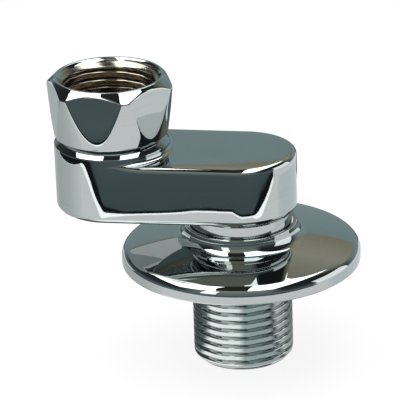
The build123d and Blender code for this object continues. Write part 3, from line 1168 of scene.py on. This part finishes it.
# %% Dark room beyond the paper
FRONT_TURNS, FRONT_REACH = (-118.0, 68.0), 98.0
REACH_STEPS = ((6.0, 5, -35), (47.0, -28, -68), (24.0, 24, 82))
BACK_TURNS, BACK_REACH, BACK_COLUMNS = (152.0, 208.0), 95.0, 20
RIBBON_ROWS = (-0.010, -0.0001, 0.0001, 0.010, 0.017, 0.035, 0.055, 0.090, 3.0)
RIBBON_LIFT, LINE_END = 0.0003, 0.02
LINE_TURN = (-70, -60, -40, -30, 22, 40, 70)
PAINTED_LIGHT_LINE = (0.02, 0.6, 0.8, 0.10, 0.10, 0.6, 0.2)
DARK_LINE = (1.1, 1.1, 1.0, 0.12, 0.12, 0.8, 0.3)
# The first two tones, just short of the paper's edge, are a painted light line brighter than the paper.
ROOM_TONES = [
    (0.0, (1.8, 1.85, 1.85)), (0.099, (1.9, 1.95, 1.95)), (0.101, (0.010, 0.012, 0.013)),
    (0.20, (0.012, 0.014, 0.015)), (0.27, (0.085, 0.12, 0.13)), (0.45, (0.105, 0.14, 0.147)),
    (0.65, (0.125, 0.155, 0.162)), (1.0, (0.11, 0.14, 0.148)),
]
room_glow = glow_by_mark("room_dark", "beyond", RIBBON_ROWS[0], RIBBON_ROWS[-2], ROOM_TONES)


def dark_room(name, turn, reach):
    """Ribbon round the paper: side = r sin t, front = r cos t, with r the reach plus each row's distance.

    The rows next to the edge draw its painted light line and its dark line. Their widths change with the
    direction."""
    beyond = by_row(*RIBBON_ROWS)
    light, dark = np.interp(turn, LINE_TURN, PAINTED_LIGHT_LINE), np.interp(turn, LINE_TURN, DARK_LINE)
    stretch = np.where(beyond < 0, light, np.where(beyond < LINE_END, dark, 1.0))
    radius, angle = reach * MILLIMETRE + beyond * stretch, np.radians(turn)
    side, front = radius * np.sin(angle), radius * np.cos(angle)
    only_in_reflections(stage_grid(name, side, front, FLOOR + RIBBON_LIFT, beyond=beyond), room_glow)


front_turn = np.arange(*FRONT_TURNS)
front_reach = FRONT_REACH + sum(extra * fade(front_turn, start, end) for extra, start, end in REACH_STEPS)
dark_room("room_front", front_turn, front_reach)
back_turn = np.linspace(*BACK_TURNS, BACK_COLUMNS)
dark_room("room_back", back_turn, BACK_REACH / np.cos(np.radians(back_turn - 180)))

# %% [markdown]
# The stub is so near the floor that it mirrors only the floor round its foot. A ring there holds painted
# light and painted shadow of the floor, which give it upright bands like those a turned part shows on a
# bench.

# %% Ring of painted light and shadow round the stub's foot
RING_LIFT, RING_COLUMNS = 0.0002, 97
PAINTED_FLOOR_TONES = [
    (0.0, (0.06, 0.07, 0.07)), (0.20, (0.08, 0.09, 0.09)), (0.27, (0.20, 0.22, 0.22)),
    (0.31, (1.65, 1.68, 1.64)), (0.47, (1.5, 1.55, 1.51)), (0.50, (0.58, 0.70, 0.72)),
    (0.64, (0.55, 0.66, 0.68)), (0.67, (0.10, 0.11, 0.11)), (0.70, (0.80, 0.84, 0.83)),
    (0.80, (0.34, 0.37, 0.36)), (0.88, (0.10, 0.09, 0.08)), (1.0, (0.06, 0.06, 0.06)),
]


def floor_ring(name, turns, radii, tones):
    """Part of a flat ring: side = r sin t, front = r cos t. The mark is the share of the way round."""
    share, radius = np.meshgrid(np.linspace(0, 1, RING_COLUMNS), radii)
    turn = np.radians(turns[0] + share * (turns[1] - turns[0]))
    ring = stage_grid(name, radius * np.sin(turn), radius * np.cos(turn), FLOOR + RING_LIFT, share=share)
    only_in_reflections(ring, glow_by_mark(name, "share", 0.0, 1.0, tones))


# Painted light and painted shadow of the floor round the stub's foot.
floor_ring("stub_painted_floor", (-180, 180), (0.0115, 0.055), PAINTED_FLOOR_TONES)

# %% [markdown]
# Towards the back the paper lies in the shade of the room. Two more parts of a ring darken it there, so that
# the far sides of the nut and of the arm are grey and not as white as the front.

# %% Shaded paper
LEFT_SHADE = [
    (0.0, (0.56, 0.60, 0.60)), (0.35, (0.58, 0.62, 0.62)), (0.52, (0.66, 0.70, 0.70)),
    (0.72, (0.74, 0.77, 0.77)), (0.92, (0.92, 0.94, 0.94)), (1.0, (1.0, 1.0, 1.0)),
]
RIGHT_SHADE = [(0.0, (1.0, 1.0, 1.0)), (0.10, (0.84, 0.91, 0.93)), (1.0, (0.78, 0.86, 0.88))]
floor_ring("shade_left", (-152, -70), (0.058, 0.220), LEFT_SHADE)
floor_ring("shade_right", (75, 150), (0.058, 0.117), RIGHT_SHADE)

# %% [markdown]
# Two white cards stand upright, one on the right and a narrow one in front at the left. Walls that face them
# get a bright patch.

# %% Upright cards
def upright_card(name, side, front, height, foot_colour, head_colour):
    """A card between two (side, front) places and two heights, its glow changing evenly from foot to head."""
    share = by_row(0.0, 1.0)
    level = height[0] + share * (height[1] - height[0])
    card = stage_grid(name, np.array([side]), np.array([front]), level, share=share)
    only_in_reflections(card, glow_by_mark(name, "share", 0.0, 1.0, [(0.0, foot_colour), (1.0, head_colour)]))


upright_card("card_right", (0.26, 0.26), (-0.10, 0.10), (0.0, 0.16), (1.55, 1.57, 1.55), (1.4, 1.42, 1.4))
upright_card("card_front", (-0.222, -0.148), (0.271, 0.317), (0.066, 0.33), (2.2, 2.2, 2.1), (2.2, 2.2, 2.1))

# %% [markdown]
# The two lamps are area lights about 16 centimetres above the fitting, so their edges are straight and near.
# A third, large and high, lights the paper and doesn't show in the chrome.

# %% Lamps
LAMP_HEIGHT = 0.205


def soft_lamp(name, place, size, turn, radiance, colour):
    """A rectangle of light that faces down at a (side, front, height), turned about the upright.

    A power of four times area times radiance gives that radiance."""
    side, front, height = place
    light = bpy.data.lights.new(name, "AREA")
    light.shape = "RECTANGLE"
    light.size, light.size_y = size
    light.energy = 4 * size[0] * size[1] * radiance
    light.color = colour
    lamp = add_object(name, light)
    lamp.rotation_euler = (0, 0, VIEW_TURN + np.radians(turn))
    lamp.location = across * side + towards * front + Vector((0, 0, height))
    lamp.visible_camera = False
    print(name, "watts:", round(light.energy, 3))
    return lamp


soft_lamp("lamp_left", (-0.138, 0.023, LAMP_HEIGHT), (0.170, 0.240), -18, 2.8, (1.0, 1.0, 0.99))
soft_lamp("lamp_right", (0.062, -0.005, LAMP_HEIGHT), (0.096, 0.350), 0, 2.6, (0.95, 0.98, 1.0))
paper_lamp = soft_lamp("lamp_paper", (0, -0.3, 1.5), (3.0, 3.0), 0, 0.9, (1.0, 1.0, 1.0))
paper_lamp.visible_glossy = False

# %% [markdown]
# The room beyond lamps and cards is the world: walls behind and in front, blue-grey below and beige higher
# up, with dark sides and a dark ceiling. Height picks the tone from a ramp, and three ramps are blended by
# how far behind a direction points.

# %% Room
REAR_TONES = [
    (0.0, (0.30, 0.38, 0.40)), (0.367, (0.28, 0.365, 0.385)), (0.388, (0.31, 0.285, 0.215)),
    (0.55, (0.43, 0.41, 0.33)), (0.72, (0.28, 0.26, 0.205)), (0.84, (0.05, 0.045, 0.04)),
    (1.0, (0.03, 0.03, 0.03)),
]
SIDE_TONES = [
    (0.0, (0.16, 0.21, 0.22)), (0.25, (0.05, 0.065, 0.068)), (0.6, (0.025, 0.03, 0.03)),
    (1.0, (0.03, 0.03, 0.03)),
]
FRONT_TONES = [
    (0.0, (0.20, 0.26, 0.27)), (0.38, (0.19, 0.24, 0.245)), (0.5, (0.32, 0.33, 0.275)),
    (0.80, (0.36, 0.35, 0.29)), (0.88, (0.03, 0.033, 0.034)), (1.0, (0.03, 0.03, 0.03)),
]
REAR_TURN = 0.2
SIDES_END, WALLS_FROM = 0.62, 0.85


def room():
    """World colour by direction: height picks a colour from a ramp, one each for behind, sides and front.

    How far behind a direction points is the part of its level direction along the view, from -1 to 1."""
    world = bpy.data.worlds.new("room")
    world.use_nodes = True
    tree = world.node_tree
    direction = tree.nodes.new("ShaderNodeTexCoord").outputs["Generated"]
    split = tree.nodes.new("ShaderNodeSeparateXYZ")
    feed(tree, split.inputs[0], direction)
    height = split.outputs["Z"]
    flat, unit, behind = (tree.nodes.new("ShaderNodeVectorMath") for _ in range(3))
    flat.operation, unit.operation, behind.operation = "MULTIPLY", "NORMALIZE", "DOT_PRODUCT"
    flat.inputs[1].default_value = (1, 1, 0)
    behind.inputs[1].default_value = (across * REAR_TURN - towards).normalized()
    feed(tree, flat.inputs[0], direction)
    feed(tree, unit.inputs[0], flat.outputs[0])
    feed(tree, behind.inputs[0], unit.outputs[0])

    rearward = remap(tree, behind.outputs["Value"], SIDES_END, WALLS_FROM, 0.0, 1.0)
    forward = remap(tree, behind.outputs["Value"], -SIDES_END, -WALLS_FROM, 0.0, 1.0)
    rear, sides, front = (ramp_colour(tree, height, tones) for tones in (REAR_TONES, SIDE_TONES, FRONT_TONES))
    colour = mix_colour(tree, forward, mix_colour(tree, rearward, sides, rear), front)
    feed(tree, tree.nodes["Background"].inputs["Color"], colour)
    return world


bpy.context.scene.world = room()
bpy.context.scene.view_settings.view_transform = "Standard"
print("world:", bpy.context.scene.world.name)
